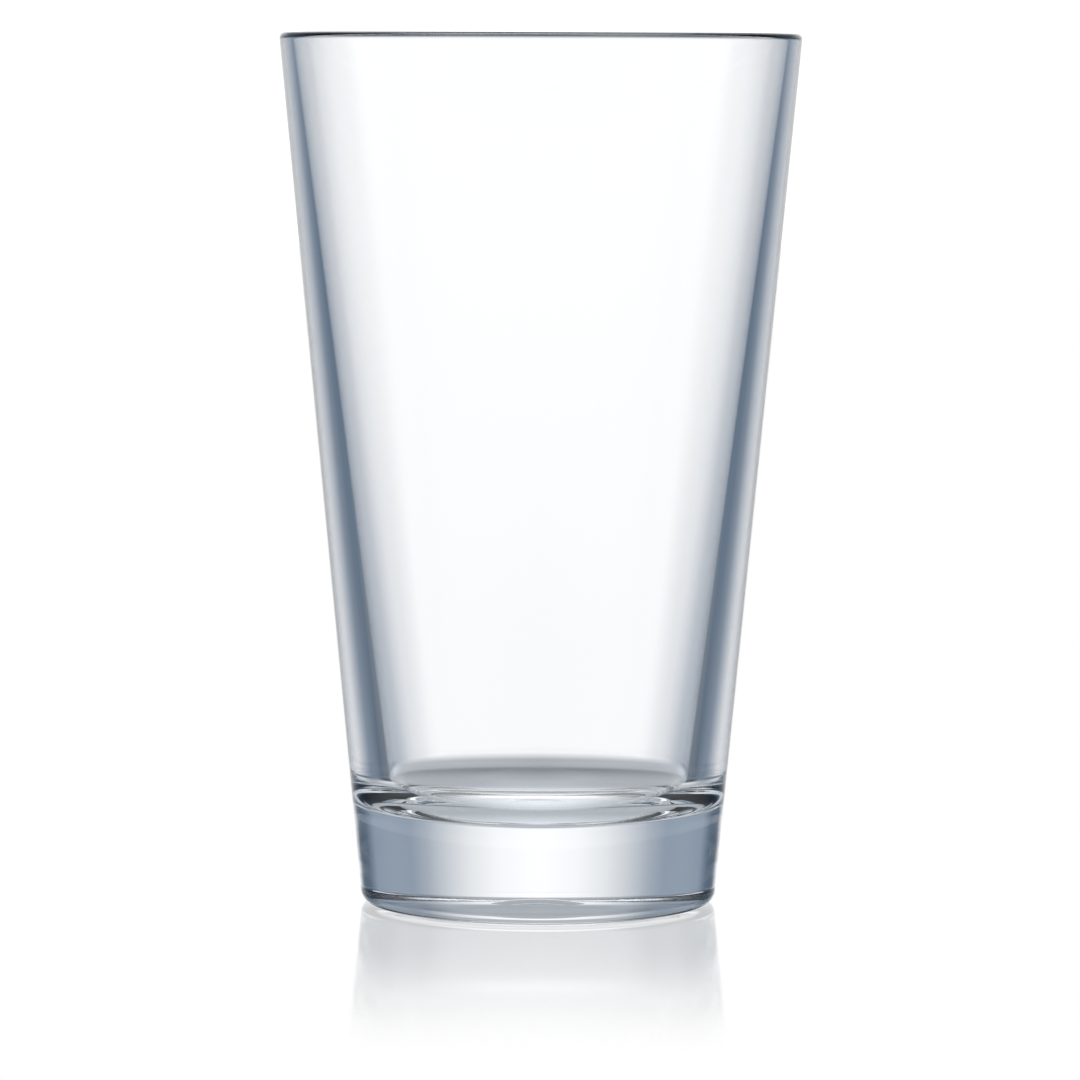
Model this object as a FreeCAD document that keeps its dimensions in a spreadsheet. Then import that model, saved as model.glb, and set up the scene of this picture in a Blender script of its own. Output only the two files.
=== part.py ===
"""Mixing glass: a tapered bar glass with a thick solid base, made in one piece.

It stands on the XY plane with its axis along +Z. The origin is the centre of the foot. Units are millimetres.
"""

import FreeCAD, Part
import math
import os
import Sketcher

NODE = "mixing_glass"
PARTS_FOLDER = "parts"

# Each size is a row of the sheet: its name, and its value in millimetres or the formula that it follows from.
DIMENSIONS = (
    ("overall_height", "149.0"),
    ("rim_diameter", "89.2"),
    ("foot_diameter", "60.6"),
    ("wall_at_rim", "2.2"),
    ("wall_at_floor", "6.8"),
    ("floor_height", "14.9"),
    ("floor_rise", "2.5"),
    ("floor_corner_radius", "8.0"),
    ("foot_corner_radius", "2.1"),
    ("foot_ring_width", "4.0"),
    ("dome_depth", "2.0"),
    ("dimple_diameter", "10.8"),
    ("dimple_depth", "0.7"),
    ("rim_radius", "=rim_diameter / 2"),
    ("foot_radius", "=foot_diameter / 2"),
    ("side_slope", "=(rim_radius - foot_radius) / overall_height"),
    ("mouth_radius", "=rim_radius - wall_at_rim"),
    ("floor_edge_height", "=floor_height + floor_rise"),
    ("floor_edge_radius", "=foot_radius + side_slope * floor_edge_height - wall_at_floor"),
    ("rim_edge_radius", "=wall_at_rim * 0.46"),
    ("dome_radius", "=foot_radius - foot_corner_radius - foot_ring_width"),
    ("dome_sphere_radius", "=(dome_radius * dome_radius + dome_depth * dome_depth) / (2 * dome_depth)"),
    ("dome_centre_height", "=dome_depth - dome_sphere_radius"),
    ("dimple_radius", "=dimple_diameter / 2"),
    (
        "dimple_edge_height",
        "=dome_centre_height + sqrt(dome_sphere_radius * dome_sphere_radius - dimple_radius * dimple_radius)",
    ),
    ("dimple_rise", "=dome_depth + dimple_depth - dimple_edge_height"),
    (
        "dimple_sphere_radius",
        "=(dimple_radius * dimple_radius + dimple_rise * dimple_rise) / (2 * dimple_rise)",
    ),
    ("dimple_centre_height", "=dome_depth + dimple_depth - dimple_sphere_radius"),
)


def make_sheet(doc):
    """Puts the dimensions in a spreadsheet: names in column A, and values in column B under that alias."""
    sheet = doc.addObject("Spreadsheet::Sheet", "dimensions")
    for row, (alias, value) in enumerate(DIMENSIONS, start=1):
        sheet.set(f"A{row}", alias)
        sheet.set(f"B{row}", value)
        sheet.setAlias(f"B{row}", alias)
    doc.recompute()
    return sheet


def origin_feature(body, role):
    """One of the body's own origin planes or axes."""
    return next(feature for feature in body.Origin.OriginFeatures if feature.Role == role)


def corner_arc(start, end):
    """The arc from a corner on the axis to the next one, with its centre on the axis above them."""
    rise = end.y - start.y
    radius = (end.x * end.x + rise * rise) / (2 * rise)
    centre = FreeCAD.Vector(0, start.y + radius, 0)
    circle = Part.Circle(centre, FreeCAD.Vector(0, 0, 1), radius)
    end_angle = math.atan2(end.y - centre.y, end.x)
    return Part.ArcOfCircle(circle, -math.pi / 2, end_angle)


def half_section(body, name, corners, bowl=False):
    """A closed half-section beside the axis, on the body's XZ plane.

    Each corner is (radius, height): the alias of a cell in the sheet, or None where the corner lies on the axis
    or on the plane that the glass stands on. The sides are straight, but with bowl=True the first is an arc.
    """
    sheet = body.Document.getObject("dimensions")
    sketch = body.newObject("Sketcher::SketchObject", name)
    sketch.AttachmentSupport = (origin_feature(body, "XZ_Plane"), [""])
    sketch.MapMode = "FlatFace"
    points = [
        FreeCAD.Vector(*[float(sheet.get(alias)) if alias else 0.0 for alias in corner], 0)
        for corner in corners
    ]
    sides = [Part.LineSegment(start, end) for start, end in zip(points, points[1:] + points[:1])]
    if bowl:
        sides[0] = corner_arc(points[0], points[1])
    for side in sides:
        sketch.addGeometry(side, False)
    if bowl:
        sketch.addConstraint(Sketcher.Constraint("PointOnObject", 0, 3, -2))
    for index, corner in enumerate(corners):
        following = (index + 1) % len(corners)
        sketch.addConstraint(Sketcher.Constraint("Coincident", index, 2, following, 1))
        for alias, kind, axis in zip(corner, ("DistanceX", "DistanceY"), (-2, -1)):
            if alias is None:
                sketch.addConstraint(Sketcher.Constraint("PointOnObject", index, 1, axis))
                continue
            guess = float(sheet.get(alias))
            number = sketch.addConstraint(Sketcher.Constraint(kind, -1, 1, index, 1, guess))
            sketch.renameConstraint(number, f"{alias}_{index}")
            sketch.setExpression(f"Constraints.{alias}_{index}", f"dimensions.{alias}")
    return sketch


def turn(body, kind, name, section):
    """Turns a half-section right round the axis: a Revolution adds material and a Groove takes it away."""
    feature = body.newObject(f"PartDesign::{kind}", name)
    feature.Profile = section
    feature.ReferenceAxis = (origin_feature(body, "Z_Axis"), [""])
    feature.Angle = 360
    section.Visibility = False
    body.Document.recompute()
    return feature


def ring_edges(feature, radius, height):
    """The names of the feature's circular edges of one radius at one height."""
    close = 0.01
    found = []
    for number, edge in enumerate(feature.Shape.Edges, start=1):
        if edge.Degenerated or not isinstance(edge.Curve, Part.Circle):
            continue
        curve = edge.Curve
        if abs(curve.Radius - radius) < close and abs(curve.Center.z - height) < close:
            found.append(f"Edge{number}")
    if not found:
        raise RuntimeError(f"no edge of radius {radius} at height {height}")
    return found


def round_edge(body, name, radius_alias, rings):
    """Fillets the circular edges at the given (radius alias, height alias) places."""
    sheet = body.Document.getObject("dimensions")
    base = body.Tip
    edges = []
    for ring_alias, height_alias in rings:
        height = float(sheet.get(height_alias)) if height_alias else 0.0
        edges += ring_edges(base, float(sheet.get(ring_alias)), height)
    fillet = body.newObject("PartDesign::Fillet", name)
    fillet.Base = (base, edges)
    fillet.setExpression("Radius", f"dimensions.{radius_alias}")
    body.Document.recompute()
    return fillet


def make_glass(doc):
    """The one piece: a solid cone, hollowed from above, with a shallow dome and a dimple under its base."""
    body = doc.addObject("PartDesign::Body", NODE)
    body.Label = NODE

    outside = half_section(
        body,
        "outside_section",
        [(None, None), ("foot_radius", None), ("rim_radius", "overall_height"), (None, "overall_height")],
    )
    turn(body, "Revolution", "outer_cone", outside)

    cavity = half_section(
        body,
        "cavity_section",
        [
            (None, "floor_height"),
            ("floor_edge_radius", "floor_edge_height"),
            ("mouth_radius", "overall_height"),
            (None, "overall_height"),
        ],
        bowl=True,
    )
    turn(body, "Groove", "cavity", cavity)

    round_edge(
        body,
        "floor_corner",
        "floor_corner_radius",
        [("floor_edge_radius", "floor_edge_height")],
    )
    round_edge(
        body,
        "rounded_rim",
        "rim_edge_radius",
        [("rim_radius", "overall_height"), ("mouth_radius", "overall_height")],
    )
    round_edge(body, "foot_corner", "foot_corner_radius", [("foot_radius", None)])
    cut_sphere(body, "underside_dome", "dome_sphere_radius", "dome_centre_height")
    cut_sphere(body, "underside_dimple", "dimple_sphere_radius", "dimple_centre_height")
    return body


def cut_sphere(body, name, radius_alias, centre_alias):
    """Cuts a sphere out of the base. Its centre is on the axis, below the plane that the glass stands on."""
    sphere = body.newObject("PartDesign::SubtractiveSphere", name)
    sphere.AttachmentSupport = (origin_feature(body, "XY_Plane"), [""])
    sphere.MapMode = "FlatFace"
    sphere.setExpression("Radius", f"dimensions.{radius_alias}")
    sphere.setExpression("AttachmentOffset.Base.z", f"dimensions.{centre_alias}")
    body.Document.recompute()


def check_document(doc, pieces):
    """Stops before anything is written if an object failed to recompute or a piece has no sound shape."""
    for item in doc.Objects:
        if "Invalid" in item.State or "Error" in item.State:
            raise RuntimeError(f"{item.Name} failed: {item.State}")
    for piece in pieces:
        if piece.Shape.isNull() or not piece.Shape.isValid() or len(piece.Shape.Solids) != 1:
            raise RuntimeError(f"{piece.Label} isn't one sound solid")


def main():
    doc = FreeCAD.newDocument("mixing_glass_document")
    make_sheet(doc)
    glass = make_glass(doc)
    glass.Placement = FreeCAD.Placement()
    doc.recompute()
    check_document(doc, [glass])
    os.makedirs(PARTS_FOLDER, exist_ok=True)
    glass.Shape.exportStep(os.path.join(PARTS_FOLDER, f"{glass.Label}.step"))
    box = glass.Shape.optimalBoundingBox(True, False)
    print(f"{glass.Label}: {box.XLength:.2f} x {box.YLength:.2f} x {box.ZLength:.2f} mm")
    print(f"volume {glass.Shape.Volume / 1000:.1f} ml of material")


main()
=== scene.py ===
"""The visual model of a mixing glass: one piece of clear glass, standing on a glossy white table.

The glass is drawn in millimetres, and becomes metres where its mesh is made. The light is a studio drawn by
direction: a bright panel behind the glass, dark flags at its sides, more panels round the room and a dim
ceiling. The clear glass bends them into its own bright middle and dark edges.
"""

import math

import bpy
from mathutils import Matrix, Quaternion, Vector


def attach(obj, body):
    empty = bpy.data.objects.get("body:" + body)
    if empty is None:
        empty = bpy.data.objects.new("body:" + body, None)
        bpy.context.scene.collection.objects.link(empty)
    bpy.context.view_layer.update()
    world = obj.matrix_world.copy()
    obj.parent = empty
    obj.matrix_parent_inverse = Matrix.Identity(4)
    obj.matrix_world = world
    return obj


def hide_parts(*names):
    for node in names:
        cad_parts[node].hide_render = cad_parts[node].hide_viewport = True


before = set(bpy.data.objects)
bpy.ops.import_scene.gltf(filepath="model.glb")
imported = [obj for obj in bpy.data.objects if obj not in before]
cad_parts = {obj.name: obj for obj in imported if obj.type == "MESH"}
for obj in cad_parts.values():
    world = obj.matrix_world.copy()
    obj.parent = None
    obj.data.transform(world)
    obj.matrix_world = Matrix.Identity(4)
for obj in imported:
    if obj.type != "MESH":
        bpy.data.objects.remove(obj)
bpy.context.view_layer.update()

NODE = "mixing_glass"

# ---------------------------------------------------------------- the glass, in millimetres

OVERALL_HEIGHT = 149.0
RIM_RADIUS = 44.6
FOOT_RADIUS = 30.3
WALL_AT_RIM = 2.2
WALL_AT_FLOOR = 6.8
FLOOR_HEIGHT = 14.9
FLOOR_RISE = 2.5
FLOOR_CORNER_RADIUS = 8.0
FOOT_CORNER_RADIUS = 2.1
FOOT_RING_WIDTH = 4.0
DOME_DEPTH = 2.0
DIMPLE_RADIUS = 5.4
DIMPLE_DEPTH = 0.7
RIM_EDGE_SHARE = 0.46
SOFT_EDGE_RADIUS = 1.2

SIDE_SLOPE = (RIM_RADIUS - FOOT_RADIUS) / OVERALL_HEIGHT
MOUTH_RADIUS = RIM_RADIUS - WALL_AT_RIM
RIM_EDGE_RADIUS = WALL_AT_RIM * RIM_EDGE_SHARE
FLOOR_EDGE_HEIGHT = FLOOR_HEIGHT + FLOOR_RISE
FLOOR_EDGE_RADIUS = FOOT_RADIUS + SIDE_SLOPE * FLOOR_EDGE_HEIGHT - WALL_AT_FLOOR
DOME_RADIUS = FOOT_RADIUS - FOOT_CORNER_RADIUS - FOOT_RING_WIDTH

SEGMENTS = 288
MM_PER_METRE = 1000


def bulge_radius(half_width, depth):
    """The radius of the sphere whose cap has this half width and depth."""
    return (half_width * half_width + depth * depth) / (2 * depth)


def arc(centre, start, end, steps, outward=1):
    """Points on an arc, each with its normal.

    outward is 1 where the glass lies on the centre's side of the arc, and -1 where it lies on the other side.
    """
    first = start - centre
    last = end - centre
    radius = first.length
    start_angle = math.atan2(first.y, first.x)
    turned = math.atan2(last.y, last.x) - start_angle
    turned = (turned + math.pi) % (2 * math.pi) - math.pi
    points = []
    for step in range(steps + 1):
        angle = start_angle + turned * step / steps
        away = Vector((math.cos(angle), math.sin(angle)))
        points.append((centre + away * radius, away * outward))
    return points


def straight(start, end, steps):
    """Points between two others, without them. The glass lies on the left of the way from start to end."""
    along = (end - start).normalized()
    normal = Vector((along.y, -along.x))
    return [(start.lerp(end, step / steps), normal) for step in range(1, steps)]


def rounded(before, corner, after, radius, steps):
    """Points on the arc that rounds a corner, from its touch on one side to its touch on the other."""
    back = (before - corner).normalized()
    onward = (after - corner).normalized()
    half_angle = back.angle(onward) / 2
    centre = corner + (back + onward).normalized() * (radius / math.sin(half_angle))
    touch = radius / math.tan(half_angle)
    return arc(centre, corner + back * touch, corner + onward * touch, steps)


def underside():
    """The dimple, the shallow dome round it and the flat ring that the glass stands on."""
    dome_sphere = bulge_radius(DOME_RADIUS, DOME_DEPTH)
    dome_centre = Vector((0, DOME_DEPTH - dome_sphere))

    def on_dome(radius):
        return Vector((radius, dome_centre.y + math.sqrt(dome_sphere ** 2 - radius ** 2)))

    dimple_edge = on_dome(DIMPLE_RADIUS)
    dimple_top = Vector((0, DOME_DEPTH + DIMPLE_DEPTH))
    dimple_sphere = bulge_radius(DIMPLE_RADIUS, dimple_top.y - dimple_edge.y)
    dimple_centre = Vector((0, dimple_top.y - dimple_sphere))
    dimple_tangent = Vector((dimple_centre.y - dimple_edge.y, dimple_edge.x))
    dimple_rim = rounded(
        dimple_edge + dimple_tangent, dimple_edge, on_dome(DIMPLE_RADIUS + 1), SOFT_EDGE_RADIUS, steps=4
    )
    dome_edge = Vector((DOME_RADIUS, 0))
    on_ring = dome_edge + Vector((1, 0))
    dome_rim = rounded(on_dome(DOME_RADIUS - 1), dome_edge, on_ring, SOFT_EDGE_RADIUS, steps=6)
    dimple = arc(dimple_centre, dimple_top, dimple_rim[0][0], steps=10, outward=-1)
    dome = arc(dome_centre, dimple_rim[-1][0], dome_rim[0][0], steps=24, outward=-1)
    return dimple[:-1] + dimple_rim + dome[1:-1] + dome_rim


def outside():
    """The foot's rounded corner, the straight side and the rounded rim."""
    foot = Vector((FOOT_RADIUS, 0))
    rim = Vector((RIM_RADIUS, OVERALL_HEIGHT))
    mouth = Vector((MOUTH_RADIUS, OVERALL_HEIGHT))
    wall_foot = Vector((FLOOR_EDGE_RADIUS, FLOOR_EDGE_HEIGHT))
    foot_corner = rounded(Vector((DOME_RADIUS, 0)), foot, rim, FOOT_CORNER_RADIUS, steps=20)
    rim_edge = rounded(foot, rim, mouth, RIM_EDGE_RADIUS, steps=14)
    mouth_edge = rounded(rim, mouth, wall_foot, RIM_EDGE_RADIUS, steps=14)
    side = straight(foot_corner[-1][0], rim_edge[0][0], steps=24)
    return foot_corner + side + rim_edge + mouth_edge


def inside(start):
    """The wall inside the glass, the rounded corner of its floor and the floor, which is a shallow bowl."""
    wall_foot = Vector((FLOOR_EDGE_RADIUS, FLOOR_EDGE_HEIGHT))
    up = (Vector((MOUTH_RADIUS, OVERALL_HEIGHT)) - wall_foot).normalized()
    inward = Vector((-up.y, up.x))
    bowl_radius = bulge_radius(FLOOR_EDGE_RADIUS, FLOOR_RISE)
    bowl_centre = Vector((0, FLOOR_HEIGHT + bowl_radius))
    reach = bowl_radius - FLOOR_CORNER_RADIUS
    offset = wall_foot + inward * FLOOR_CORNER_RADIUS - bowl_centre
    along = -offset.dot(up) - math.sqrt(offset.dot(up) ** 2 - offset.length_squared + reach ** 2)
    corner_centre = bowl_centre + offset + up * along
    wall_touch = corner_centre - inward * FLOOR_CORNER_RADIUS
    bowl_touch = corner_centre + (corner_centre - bowl_centre).normalized() * FLOOR_CORNER_RADIUS
    corner = arc(corner_centre, wall_touch, bowl_touch, steps=28, outward=-1)
    bowl = arc(bowl_centre, bowl_touch, Vector((0, FLOOR_HEIGHT)), steps=32, outward=-1)
    return straight(start, wall_touch, steps=24) + corner + bowl[1:]


def turned_mesh(name, profile):
    """A mesh, in metres, made by turning a profile round the axis. The profile's two ends are on the axis.

    The mesh keeps the profile's exact normals.
    """
    vertices = [(0, 0, profile[0][0].y / MM_PER_METRE)]
    normals = [(0, 0, profile[0][1].y)]
    rings = []
    for point, normal in profile[1:-1]:
        rings.append(len(vertices))
        for segment in range(SEGMENTS):
            angle = 2 * math.pi * segment / SEGMENTS
            across = math.cos(angle)
            along = math.sin(angle)
            x = point.x * across / MM_PER_METRE
            y = point.x * along / MM_PER_METRE
            vertices.append((x, y, point.y / MM_PER_METRE))
            normals.append((normal.x * across, normal.x * along, normal.y))
    last = len(vertices)
    vertices.append((0, 0, profile[-1][0].y / MM_PER_METRE))
    normals.append((0, 0, profile[-1][1].y))
    faces = []
    for segment in range(SEGMENTS):
        after = (segment + 1) % SEGMENTS
        faces.append((0, rings[0] + after, rings[0] + segment))
        for lower, upper in zip(rings, rings[1:]):
            faces.append((lower + segment, lower + after, upper + after, upper + segment))
        faces.append((last, rings[-1] + segment, rings[-1] + after))
    mesh = bpy.data.meshes.new(name)
    mesh.from_pydata(vertices, [], faces)
    mesh.shade_smooth()
    mesh.normals_split_custom_set_from_vertices(normals)
    return mesh


def add_object(name, mesh):
    thing = bpy.data.objects.new(name, mesh)
    bpy.context.scene.collection.objects.link(thing)
    return thing


# ---------------------------------------------------------------- materials and light


class Nodes:
    """Adds nodes to one node tree. An input is a number, a colour, or another node's output."""

    def __init__(self, owner):
        owner.use_nodes = True
        self.tree = owner.node_tree

    def named(self, name):
        return self.tree.nodes[name]

    def link(self, value, socket):
        if isinstance(value, bpy.types.NodeSocket):
            self.tree.links.new(value, socket)
        else:
            socket.default_value = value

    def add(self, kind, inputs=None, output=0, **settings):
        node = self.tree.nodes.new("ShaderNode" + kind)
        for name, value in settings.items():
            setattr(node, name, value)
        for socket, value in (inputs or {}).items():
            self.link(value, node.inputs[socket])
        return node.outputs[output]

    def calculate(self, operation, first, second=0.0):
        return self.add("Math", {0: first, 1: second}, operation=operation)

    def step(self, value, start, end, low=0.0, high=1.0):
        """Goes smoothly from low to high as the value goes from start to end."""
        limits = {"From Min": start, "From Max": end, "To Min": low, "To Max": high}
        return self.add("MapRange", {"Value": value, **limits}, interpolation_type="SMOOTHSTEP")

    def slope(self, value, start, end, low=0.0, high=1.0):
        """Goes in a straight line from low to high as the value goes from start to end."""
        limits = {"From Min": start, "From Max": end, "To Min": low, "To Max": high}
        return self.add("MapRange", {"Value": value, **limits}, interpolation_type="LINEAR")

    def blend(self, share, first, second):
        """The first colour where the share is 0, and the second where it is 1."""
        return self.add("Mix", {"Factor": share, 6: first, 7: second}, output=2, data_type="RGBA")

    def ramp(self, value, stops):
        """A colour by the value, which runs from 0 to the last stop's. Each stop is a value and a colour."""
        full = stops[-1][0]
        node = self.tree.nodes.new("ShaderNodeValToRGB")
        elements = node.color_ramp.elements
        while len(elements) < len(stops):
            elements.new(1.0)
        for element, (place, colour) in zip(elements, stops):
            element.position = place / full
            element.color = colour
        self.tree.links.new(self.calculate("DIVIDE", value, full), node.inputs["Fac"])
        return node.outputs["Color"]


WHITE = (1.0, 1.0, 1.0, 1.0)
BLACK = (0.0, 0.0, 0.0, 1.0)
GLASS_INDEX = 1.5


def clear_glass():
    """Clear soda-lime glass: faint waves from the mould and a trace of blue."""
    material = bpy.data.materials.new("clear_glass")
    nodes = Nodes(material)
    shader = nodes.named("Principled BSDF")
    shader.inputs["Base Color"].default_value = WHITE
    shader.inputs["Roughness"].default_value = 0.0
    shader.inputs["IOR"].default_value = GLASS_INDEX
    shader.inputs["Transmission Weight"].default_value = 1.0
    place = nodes.add("TexCoord", output="Object")
    waves = nodes.add("TexNoise", {"Vector": place, "Scale": 45.0, "Detail": 1.0}, output="Fac")
    wave_height = 0.000002
    bump = nodes.add("Bump", {"Height": waves, "Strength": 1.0, "Distance": wave_height}, output="Normal")
    nodes.link(bump, shader.inputs["Normal"])
    tint = nodes.add("VolumeAbsorption", {"Color": (0.70, 0.86, 1.0, 1.0), "Density": 1.0}, output="Volume")
    nodes.link(tint, nodes.named("Material Output").inputs["Volume"])
    return material


PANEL_STRENGTH = 1.15
GREEN_SHARE = 0.42


def grey(brightness, blueness):
    """A grey with a little more blue than red, as a share of the panel's strength."""
    green = brightness + GREEN_SHARE * blueness
    blue = brightness + blueness
    return (brightness / PANEL_STRENGTH, green / PANEL_STRENGTH, blue / PANEL_STRENGTH, 1.0)


# Each table is the light of one band of height, by degrees to either side of straight behind the glass.
# The back panel fades into dark flags at about 30 degrees. More panels light the sides and the front.
# All but DOWN_LIGHT and CEILING began as the rounded output of another program, which fitted the light to the
# photograph's tones. They were changed since, mostly beside and in front of the glass.
LEVEL_LIGHT = (
    (0, grey(1.08, 0.02)),
    (8, grey(0.99, 0.02)),
    (14, grey(0.83, 0.03)),
    (20, grey(0.60, 0.07)),
    (26, grey(0.37, 0.11)),
    (32, grey(0.24, 0.14)),
    (52, grey(0.26, 0.15)),
    (60, grey(0.12, 0.10)),
    (72, grey(0.04, 0.05)),
    (81, grey(0.90, 0.05)),
    (90, grey(1.10, 0.02)),
    (99, grey(0.90, 0.05)),
    (108, grey(0.20, 0.14)),
    (120, grey(0.20, 0.14)),
    (135, grey(0.90, 0.05)),
    (148, grey(0.30, 0.12)),
    (160, grey(0.30, 0.12)),
    (170, grey(0.90, 0.04)),
    (180, grey(1.10, 0.02)),
)
LOW_LIGHT = (
    (0, grey(1.02, 0.02)),
    (8, grey(0.97, 0.02)),
    (14, grey(0.78, 0.04)),
    (20, grey(0.52, 0.08)),
    (26, grey(0.31, 0.12)),
    (32, grey(0.16, 0.12)),
    (40, grey(0.10, 0.11)),
    (46, grey(0.10, 0.11)),
    (60, grey(0.38, 0.08)),
    (74, grey(0.80, 0.05)),
    (90, grey(1.00, 0.02)),
    (106, grey(0.60, 0.08)),
    (120, grey(0.75, 0.06)),
    (135, grey(1.05, 0.02)),
    (150, grey(0.40, 0.10)),
    (160, grey(0.40, 0.10)),
    (170, grey(0.90, 0.04)),
    (180, grey(1.05, 0.02)),
)
# Below those two bands, light that came straight through the glass and light that was mirrored in it differ.
STEEP_THROUGH = (
    (0, grey(0.42, 0.05)),
    (20, grey(0.44, 0.07)),
    (32, grey(0.70, 0.10)),
    (40, grey(0.50, 0.10)),
    (60, grey(0.60, 0.08)),
    (95, grey(0.30, 0.12)),
    (120, grey(0.85, 0.05)),
    (150, grey(0.85, 0.05)),
    (164, grey(0.50, 0.10)),
    (180, grey(0.90, 0.05)),
)
STEEP_MIRRORED = (
    (0, grey(0.20, 0.11)),
    (26, grey(0.15, 0.12)),
    (38, grey(0.20, 0.12)),
    (46, grey(0.03, 0.06)),
    (54, grey(0.03, 0.06)),
    (64, grey(0.50, 0.12)),
    (80, grey(0.80, 0.10)),
    (120, grey(0.88, 0.11)),
    (150, grey(0.57, 0.14)),
    (180, grey(0.25, 0.13)),
)
# Lower still is the light round the table's edge, with a panel across each corner of the room.
DOWN_LIGHT = (
    (0, grey(0.03, 0.03)),
    (24, grey(0.03, 0.03)),
    (34, grey(0.85, 0.05)),
    (45, grey(1.10, 0.02)),
    (65, grey(0.85, 0.05)),
    (90, grey(0.30, 0.14)),
    (115, grey(0.85, 0.05)),
    (135, grey(1.10, 0.02)),
    (155, grey(0.85, 0.05)),
    (180, grey(0.30, 0.14)),
)
# Above the level band the back panel ends, and the room is dim up to a white light overhead.
UPPER_LIGHT = (
    (0, grey(0.42, 0.05)),
    (20, grey(0.37, 0.08)),
    (28, grey(0.20, 0.08)),
    (52, grey(0.12, 0.10)),
    (180, grey(0.05, 0.05)),
)
CEILING = (
    (0, grey(0.42, 0.05)),
    (14, grey(0.36, 0.05)),
    (24, grey(0.06, 0.02)),
    (180, grey(0.0, 0.0)),
)
# What the walls mirror from the front of the room is one broad, even panel, which keeps them smooth.
FRONT_PANEL = grey(0.75, 0.03)
FRONT_STARTS = (84, 108)

# Where one band of height gives way to the next, in degrees above level.
LEVEL_TO_LOW = (-3, -8)
LOW_TO_STEEP = (-13, -18)
STEEP_TO_DOWN = (-22, -26)
DOWN_TO_WHITE = (-50, -60)
LEVEL_TO_UPPER = (9, 15)
UPPER_TO_CEILING = (18, 35)
CEILING_TO_WHITE = (56, 64)


def studio_light():
    """The light from every direction: white where the camera looks straight at it, and else by the tables."""
    world = bpy.data.worlds.new("studio")
    bpy.context.scene.world = world
    nodes = Nodes(world)
    direction = nodes.add("TexCoord", output="Generated")
    right = nodes.add("SeparateXYZ", {0: direction}, output="X")
    ahead = nodes.add("SeparateXYZ", {0: direction}, output="Y")
    up = nodes.add("SeparateXYZ", {0: direction}, output="Z")
    degrees = 180 / math.pi
    turned = nodes.calculate("ABSOLUTE", nodes.calculate("ARCTAN2", right, ahead))
    aside = nodes.calculate("MULTIPLY", turned, degrees)
    above = nodes.calculate("MULTIPLY", nodes.calculate("ARCSINE", up), degrees)
    mirrorings = nodes.add("LightPath", output="Glossy Depth")
    mirrored = nodes.calculate("GREATER_THAN", mirrorings, 0.5)

    through = nodes.ramp(aside, STEEP_THROUGH)
    steep = nodes.blend(mirrored, through, nodes.ramp(aside, STEEP_MIRRORED))
    level = nodes.ramp(aside, LEVEL_LIGHT)
    light = nodes.blend(nodes.slope(above, *LEVEL_TO_LOW), level, nodes.ramp(aside, LOW_LIGHT))
    in_front = nodes.calculate("MULTIPLY", mirrored, nodes.step(aside, *FRONT_STARTS))
    light = nodes.blend(in_front, light, FRONT_PANEL)
    light = nodes.blend(nodes.slope(above, *LOW_TO_STEEP), light, steep)
    light = nodes.blend(nodes.step(above, *STEEP_TO_DOWN), light, nodes.ramp(aside, DOWN_LIGHT))
    light = nodes.blend(nodes.step(above, *DOWN_TO_WHITE), light, WHITE)
    light = nodes.blend(nodes.step(above, *LEVEL_TO_UPPER), light, nodes.ramp(aside, UPPER_LIGHT))
    light = nodes.blend(nodes.step(above, *UPPER_TO_CEILING), light, nodes.ramp(aside, CEILING))
    light = nodes.blend(nodes.step(above, *CEILING_TO_WHITE), light, WHITE)
    seen = nodes.add("LightPath", output="Is Camera Ray")
    light = nodes.blend(seen, light, WHITE)
    background = nodes.named("Background")
    nodes.link(light, background.inputs["Color"])
    background.inputs["Strength"].default_value = PANEL_STRENGTH


def white_table():
    """A white table top, much larger than the view, which is glossy near the glass.

    It isn't seen through the glass or mirrored in it: there the studio's light from below stands for it.
    """
    half = 3.0
    corners = [(-half, -half, 0), (half, -half, 0), (half, half, 0), (-half, half, 0)]
    mesh = bpy.data.meshes.new("table")
    mesh.from_pydata(corners, [], [(0, 1, 2, 3)])
    table = add_object("table", mesh)
    material = bpy.data.materials.new("table")
    nodes = Nodes(material)
    shader = nodes.named("Principled BSDF")
    shader.inputs["Base Color"].default_value = BLACK
    shader.inputs["Specular IOR Level"].default_value = 0.0
    shader.inputs["Emission Color"].default_value = WHITE
    shader.inputs["Emission Strength"].default_value = 1.0
    place = nodes.add("TexCoord", output="Object")
    away = nodes.add("VectorMath", {0: place}, output="Value", operation="LENGTH")
    gloss_fades = 0.050
    gloss_ends = 0.165
    nodes.link(nodes.step(away, gloss_fades, gloss_ends, low=1.0, high=0.0), shader.inputs["Coat Weight"])
    shader.inputs["Coat Roughness"].default_value = 0.08
    shader.inputs["Coat IOR"].default_value = 1.5
    mesh.materials.append(material)
    table.visible_transmission = False
    table.visible_glossy = False


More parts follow.
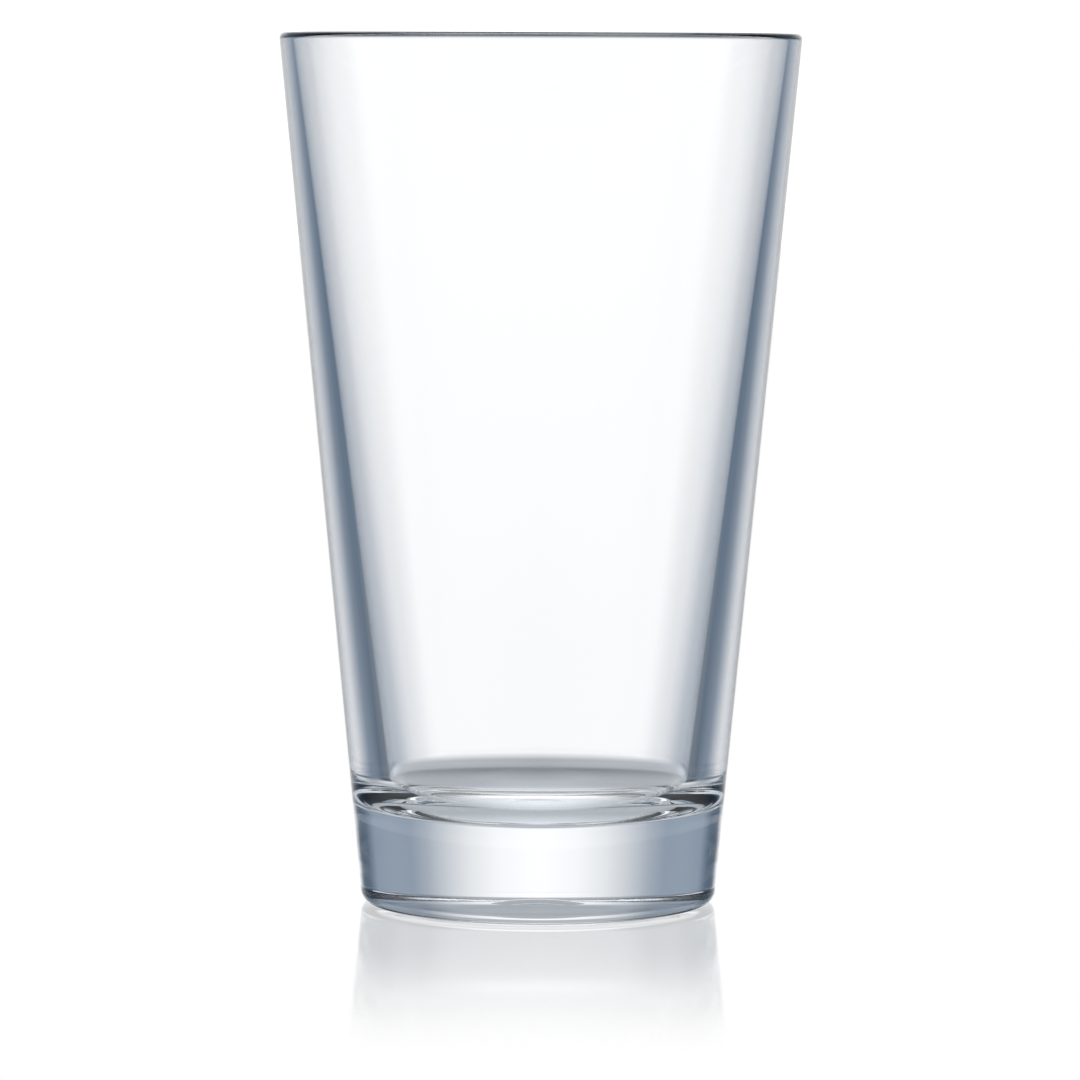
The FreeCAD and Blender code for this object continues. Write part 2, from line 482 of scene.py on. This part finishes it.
def glow_and_shade_pad():
    """A glow in painted shade, seen only through the glass, in place of the table that the glass stands on.

    It is a thin pad just under the table's top. The glow in its middle is painted light, and it fades to
    painted shade round it. The glow reaches furthest to the front and back.
    """
    radius = 0.083
    depth = 0.0001
    count = 128
    corners = []
    for corner in range(count):
        angle = 2 * math.pi * corner / count
        corners.append((radius * math.cos(angle), radius * math.sin(angle), -depth))
    mesh = bpy.data.meshes.new("glow_and_shade_pad")
    mesh.from_pydata(corners, [], [tuple(range(count))])
    pad = add_object("glow_and_shade_pad", mesh)
    material = bpy.data.materials.new("glow_and_shade_pad")
    nodes = Nodes(material)
    place = nodes.add("TexCoord", output="Object")
    glow_centre = (0.0, 0.010, 0.0)
    glow_width = 0.0235
    glow_length = 0.040
    centred = nodes.add("VectorMath", {0: place, 1: glow_centre}, operation="SUBTRACT")
    sizes = (1 / glow_width, 1 / glow_length, 0.0)
    scaled = nodes.add("VectorMath", {0: centred, 1: sizes}, operation="MULTIPLY")
    away = nodes.add("VectorMath", {0: scaled}, output="Value", operation="LENGTH")
    # Painted light where the glass stands, fading to painted shade further out.
    glow = 1.05
    shade = 0.48
    brightness = nodes.step(away, 0.0, 1.06, low=glow, high=shade)
    shader = nodes.named("Principled BSDF")
    shader.inputs["Base Color"].default_value = BLACK
    shader.inputs["Specular IOR Level"].default_value = 0.0
    shader.inputs["Emission Color"].default_value = (0.87, 0.94, 1.0, 1.0)
    nodes.link(brightness, shader.inputs["Emission Strength"])
    reach = nodes.add("VectorMath", {0: place}, output="Value", operation="LENGTH")
    nodes.link(nodes.step(reach, radius / 2, radius, low=1.0, high=0.0), shader.inputs["Alpha"])
    mesh.materials.append(material)
    pad.visible_camera = False
    pad.visible_glossy = False
    pad.visible_shadow = False


def add_camera():
    """A long lens about a metre away, level with the rim and tilted down at the middle of the glass."""
    data = bpy.data.cameras.new("camera")
    data.sensor_width = 36.0
    data.lens = 204.9
    data.clip_start = 0.01
    camera = add_object("camera", data)
    camera.location = (0.0, -1.05, 0.152)
    aim = Vector((0.00014, 0.0, 0.0623))
    roll = Quaternion((0, 0, 1), math.radians(0.2))
    camera.rotation_mode = "QUATERNION"
    camera.rotation_quaternion = (aim - camera.location).to_track_quat("-Z", "Y") @ roll
    bpy.context.scene.camera = camera


def add_glass():
    """The one piece. Its profile goes from the underside's middle, up the outside and down the inside."""
    below = underside()
    side = outside()
    mesh = turned_mesh(NODE, below + side + inside(side[-1][0]))
    mesh.materials.append(clear_glass())
    glass = add_object("glass", mesh)
    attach(glass, "root")
    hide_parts(NODE)


def set_light_paths():
    """Light passes through both walls and turns round inside the base many times before it leaves."""
    cycles = bpy.context.scene.cycles
    cycles.max_bounces = 32
    cycles.transmission_bounces = 32
    cycles.glossy_bounces = 16
    cycles.transparent_max_bounces = 32


bpy.context.scene.view_settings.view_transform = "Standard"
set_light_paths()
add_camera()
studio_light()
white_table()
glow_and_shade_pad()
add_glass()
